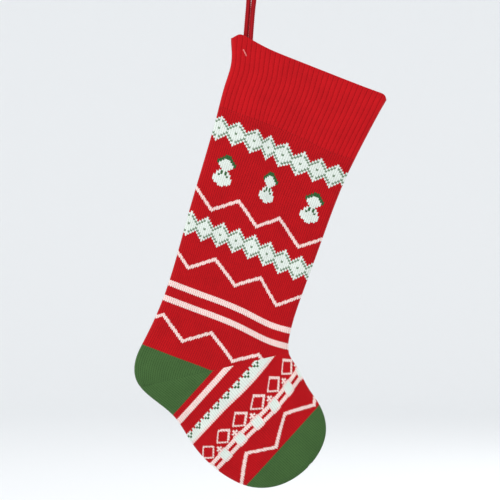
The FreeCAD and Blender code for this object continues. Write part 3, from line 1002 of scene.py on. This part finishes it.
def tack_stitch(side):
    """One thread on the front or the back, arched over the rib and pointed into it at both ends."""
    middle = (np.array(TACK_FROM) + np.array(TACK_TO)) / 2
    length = float(np.linalg.norm(np.array(TACK_TO) - np.array(TACK_FROM))) * MM
    deselect_all()
    bpy.ops.mesh.primitive_cylinder_add(vertices=12, radius=TACK_RADIUS, depth=length, location=(0, 0, 0))
    obj = bpy.context.object
    bpy.ops.object.mode_set(mode="EDIT")
    for step in range(1, TACK_LENGTHS):
        bpy.ops.mesh.select_all(action="SELECT")
        bpy.ops.mesh.bisect(plane_co=(0, 0, length * (step / TACK_LENGTHS - 0.5)), plane_no=(0, 0, 1))
    bpy.ops.object.mode_set(mode="OBJECT")
    along = row_frame_direction(np.array(TACK_TO) - np.array(TACK_FROM)).normalized()
    across = along.cross(Vector((0, side, 0)))
    surface = soft_surface(middle[None, :], side)[0]
    centre = Vector(hang(surface)[0])
    for vertex in obj.data.vertices:
        share = vertex.co.z / (length / 2)
        lift = side * (0.0017 - 0.0022 * share ** 4)
        ply = 1.0 + 0.12 * math.cos(2 * math.atan2(vertex.co.y, vertex.co.x) - share * 9.0)
        vertex.co = (centre + along * vertex.co.z + across * vertex.co.x * ply
                     + Vector((0, vertex.co.y * ply + lift, 0)))
    return obj


tacks = [tack_stitch(-1), tack_stitch(1)]
deselect_all()
for tack in tacks:
    tack.select_set(True)
bpy.context.view_layer.objects.active = tacks[0]
bpy.ops.object.join()
tack = bpy.context.object
tack.name = "loop_tack_thread"
bpy.ops.object.mode_set(mode="EDIT")
bpy.ops.mesh.select_all(action="SELECT")
bpy.ops.mesh.normals_make_consistent(inside=False)
bpy.ops.object.mode_set(mode="OBJECT")
bpy.ops.object.shade_smooth()
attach(tack, "leg")
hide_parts("loop_tack")
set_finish(tack, "tack_thread")
print("tack has", len(tack.data.polygons), "faces")

# %% [markdown]
# ## Yarn finish
#
# Acrylic yarn is matte and slightly hairy, its fibres twist round it, and no two stretches have quite the
# same dye. The valleys between the stitches get painted shade: a darker colour mixed in where the stitch
# relief is low. One node group makes these three effects for every yarn, and each material gives it its own
# colours. The twist follows the stitches through the UV map, and the slow change of dye follows the object.

# %% Node group shared by the yarns
def set_sockets(node, **values):
    """Set sockets by name, with an underscore for each space."""
    for socket, value in values.items():
        node.inputs[socket.replace("_", " ")].default_value = value


def add_node(tree, kind, **values):
    node = tree.nodes.new("ShaderNode" + kind)
    set_sockets(node, **values)
    return node


def link(tree, source, target):
    tree.links.new(source, target)


def yarn_group():
    """Inputs: colour and shade colour. Outputs: colour with painted shade in the valleys, and a height for
    the fibres.
    """
    tree = bpy.data.node_groups.new("yarn_surface", "ShaderNodeTree")
    tree.interface.new_socket("Colour", in_out="INPUT", socket_type="NodeSocketColor")
    tree.interface.new_socket("Valley", in_out="INPUT", socket_type="NodeSocketColor")
    tree.interface.new_socket("Colour", in_out="OUTPUT", socket_type="NodeSocketColor")
    tree.interface.new_socket("Height", in_out="OUTPUT", socket_type="NodeSocketFloat")
    given = tree.nodes.new("NodeGroupInput")
    result = tree.nodes.new("NodeGroupOutput")
    # Painted shade: where the relief attribute is low, in the valleys between the stitches and on the
    # inside, the shade colour is mixed into the yarn's colour.
    relief = add_node(tree, "Attribute")
    relief.attribute_name = "relief"
    depth = add_node(tree, "MapRange", From_Min=0.0, From_Max=0.42)
    depth.interpolation_type = "SMOOTHSTEP"
    link(tree, relief.outputs["Fac"], depth.inputs["Value"])
    shaded = add_node(tree, "Mix")
    shaded.data_type = "RGBA"
    link(tree, depth.outputs["Result"], shaded.inputs["Factor"])
    link(tree, given.outputs["Valley"], shaded.inputs["A"])
    link(tree, given.outputs["Colour"], shaded.inputs["B"])
    place = add_node(tree, "TexCoord")
    dye = add_node(tree, "TexNoise", Scale=60.0, Detail=4.0)
    link(tree, place.outputs["Object"], dye.inputs["Vector"])
    change = add_node(tree, "MapRange", To_Min=0.86, To_Max=1.14)
    link(tree, dye.outputs["Fac"], change.inputs["Value"])
    dyed = add_node(tree, "HueSaturation")
    link(tree, shaded.outputs["Result"], dyed.inputs["Color"])
    link(tree, change.outputs["Result"], dyed.inputs["Value"])
    link(tree, dyed.outputs["Color"], result.inputs["Colour"])
    stitches = add_node(tree, "UVMap")
    stitches.uv_map = "stitches"
    fibres = add_node(tree, "TexNoise", Scale=9.0, Detail=3.0, Distortion=0.6)
    link(tree, stitches.outputs["UV"], fibres.inputs["Vector"])
    twist = add_node(tree, "TexWave", Scale=1.6, Distortion=2.0)
    twist.bands_direction = "DIAGONAL"
    link(tree, stitches.outputs["UV"], twist.inputs["Vector"])
    both = add_node(tree, "Math")
    both.operation = "ADD"
    link(tree, fibres.outputs["Fac"], both.inputs[0])
    link(tree, twist.outputs["Fac"], both.inputs[1])
    link(tree, both.outputs["Value"], result.inputs["Height"])
    return tree


YARN_GROUP = yarn_group()


def srgb(red, green, blue):
    """Linear colour from the 0 to 255 values that a paint program shows."""
    values = [channel / 255 for channel in (red, green, blue)]
    return [v / 12.92 if v <= 0.04045 else ((v + 0.055) / 1.055) ** 2.4 for v in values] + [1.0]


def yarn_material(name, colour, valley_shade):
    material = bpy.data.materials.new(name)
    material.use_nodes = True
    tree = material.node_tree
    shader = tree.nodes["Principled BSDF"]
    set_sockets(shader, Roughness=0.92, Specular_IOR_Level=0.12, Sheen_Weight=0.06, Sheen_Roughness=0.5)
    group = add_node(tree, "Group")
    group.node_tree = YARN_GROUP
    set_sockets(group, Colour=srgb(*colour), Valley=srgb(*valley_shade))
    bump = add_node(tree, "Bump", Strength=0.35, Distance=0.0002)
    link(tree, group.outputs["Colour"], shader.inputs["Base Color"])
    link(tree, group.outputs["Height"], bump.inputs["Height"])
    link(tree, bump.outputs["Normal"], shader.inputs["Normal"])
    return material


# %% One material for each yarn
# The second colour of each yarn is painted shade, mixed in where the relief is low: in the valleys between
# the stitches and on the inside of the layers. The tack thread has no relief, so it shows the second colour
# all over.
YARNS = {
    "red": yarn_material("red_yarn", (186, 16, 24), (128, 6, 14)),
    "green": yarn_material("green_yarn", (69, 103, 56), (40, 66, 34)),
    "cream": yarn_material("cream_yarn", (241, 224, 217), (222, 120, 122)),
    "mint": yarn_material("mint_yarn", (226, 234, 227), (184, 194, 182)),
    "dots": yarn_material("grey_green_yarn", (116, 140, 114), (92, 112, 90)),
    "leaf": yarn_material("leaf_green_yarn", (54, 98, 54), (32, 62, 34)),
    "cord": yarn_material("loop_yarn", (168, 22, 30), (100, 6, 12)),
    "thread": yarn_material("tack_thread", (248, 158, 148), (220, 120, 116)),
}
PIECE_YARN = {
    "diamond_chain_upper": "mint", "diamond_chain_lower": "mint", "diamond_dots": "dots",
    "snowman_bodies": "mint", "snowman_hats": "leaf", "snowman_dots": "leaf", "tree_band": "mint",
    "tree_marks": "leaf", "dash_blocks": "mint",
}
for name, obj in pieces.items():
    yarn = PIECE_YARN.get(name)
    if yarn is None:
        yarn = {"red_yarn": "red", "green_yarn": "green", "white_yarn": "cream"}[obj["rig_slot"]]
    obj.data.materials.clear()
    obj.data.materials.append(YARNS[yarn])
loop.data.materials.append(YARNS["cord"])
tack.data.materials.append(YARNS["thread"])
print("materials:", sorted(YARNS))

# %% [markdown]
# ## Sheets
#
# Each ground piece is a sheet of knitting that came off the machine flat.

# %% [markdown]
# ## Stage
#
# The stocking hangs in front of a pale sweep: a floor that curves up into a wall, so that no line
# shows behind it. It starts as a plane. Its back edge is extruded upwards, and the corner is
# rounded with a bevel.

# %% Pale floor and backdrop
FLOOR = -0.80
BACK_WALL = 6.0
WALL_HEIGHT = 5.0
SWEEP_RADIUS = 1.5


def sweep():
    deselect_all()
    bpy.ops.mesh.primitive_plane_add(size=1, location=(0, 0, FLOOR))
    obj = bpy.context.object
    obj.name = "backdrop"
    for vertex in obj.data.vertices:
        vertex.co.x *= 2 * BACK_WALL
        vertex.co.y = math.copysign(BACK_WALL, vertex.co.y)
    bpy.ops.object.mode_set(mode="EDIT")
    bpy.ops.mesh.select_all(action="DESELECT")
    bpy.ops.object.mode_set(mode="OBJECT")
    for edge in obj.data.edges:
        edge.select = all(obj.data.vertices[k].co.y > BACK_WALL - 0.01 for k in edge.vertices)
    bpy.ops.object.mode_set(mode="EDIT")
    bpy.ops.mesh.extrude_region_move(TRANSFORM_OT_translate={"value": (0, 0, WALL_HEIGHT)})
    bpy.ops.mesh.select_all(action="DESELECT")
    bpy.ops.object.mode_set(mode="OBJECT")
    for edge in obj.data.edges:
        ends = [obj.data.vertices[k].co for k in edge.vertices]
        edge.select = all(end.y > BACK_WALL - 0.01 and end.z < 0.1 for end in ends)
    bpy.ops.object.mode_set(mode="EDIT")
    bpy.ops.mesh.bevel(offset=SWEEP_RADIUS, segments=24)
    bpy.ops.object.mode_set(mode="OBJECT")
    bpy.ops.object.shade_smooth()
    return obj


backdrop = sweep()
paper = bpy.data.materials.new("pale_paper")
paper.use_nodes = True
set_sockets(paper.node_tree.nodes["Principled BSDF"], Base_Color=srgb(240, 242, 243), Roughness=0.9)
backdrop.data.materials.append(paper)
print("backdrop has", len(backdrop.data.polygons), "faces")

# %% Soft studio light
def area_light(name, place, size, power, target=(0, 0, -0.3)):
    data = bpy.data.lights.new(name, "AREA")
    data.size = size
    data.energy = power
    light = bpy.data.objects.new(name, data)
    bpy.context.scene.collection.objects.link(light)
    light.location = place
    light.rotation_euler = (Vector(target) - Vector(place)).to_track_quat("-Z", "Y").to_euler()
    return light


area_light("key_light", (-1.4, -2.0, 1.5), 1.4, 30.0)
area_light("back_light", (1.6, 2.2, 1.2), 1.8, 22.0)
world = bpy.data.worlds.new("studio")
bpy.context.scene.world = world
world.use_nodes = True
set_sockets(world.node_tree.nodes["Background"], Color=srgb(250, 251, 253), Strength=0.97)
print("lights set")
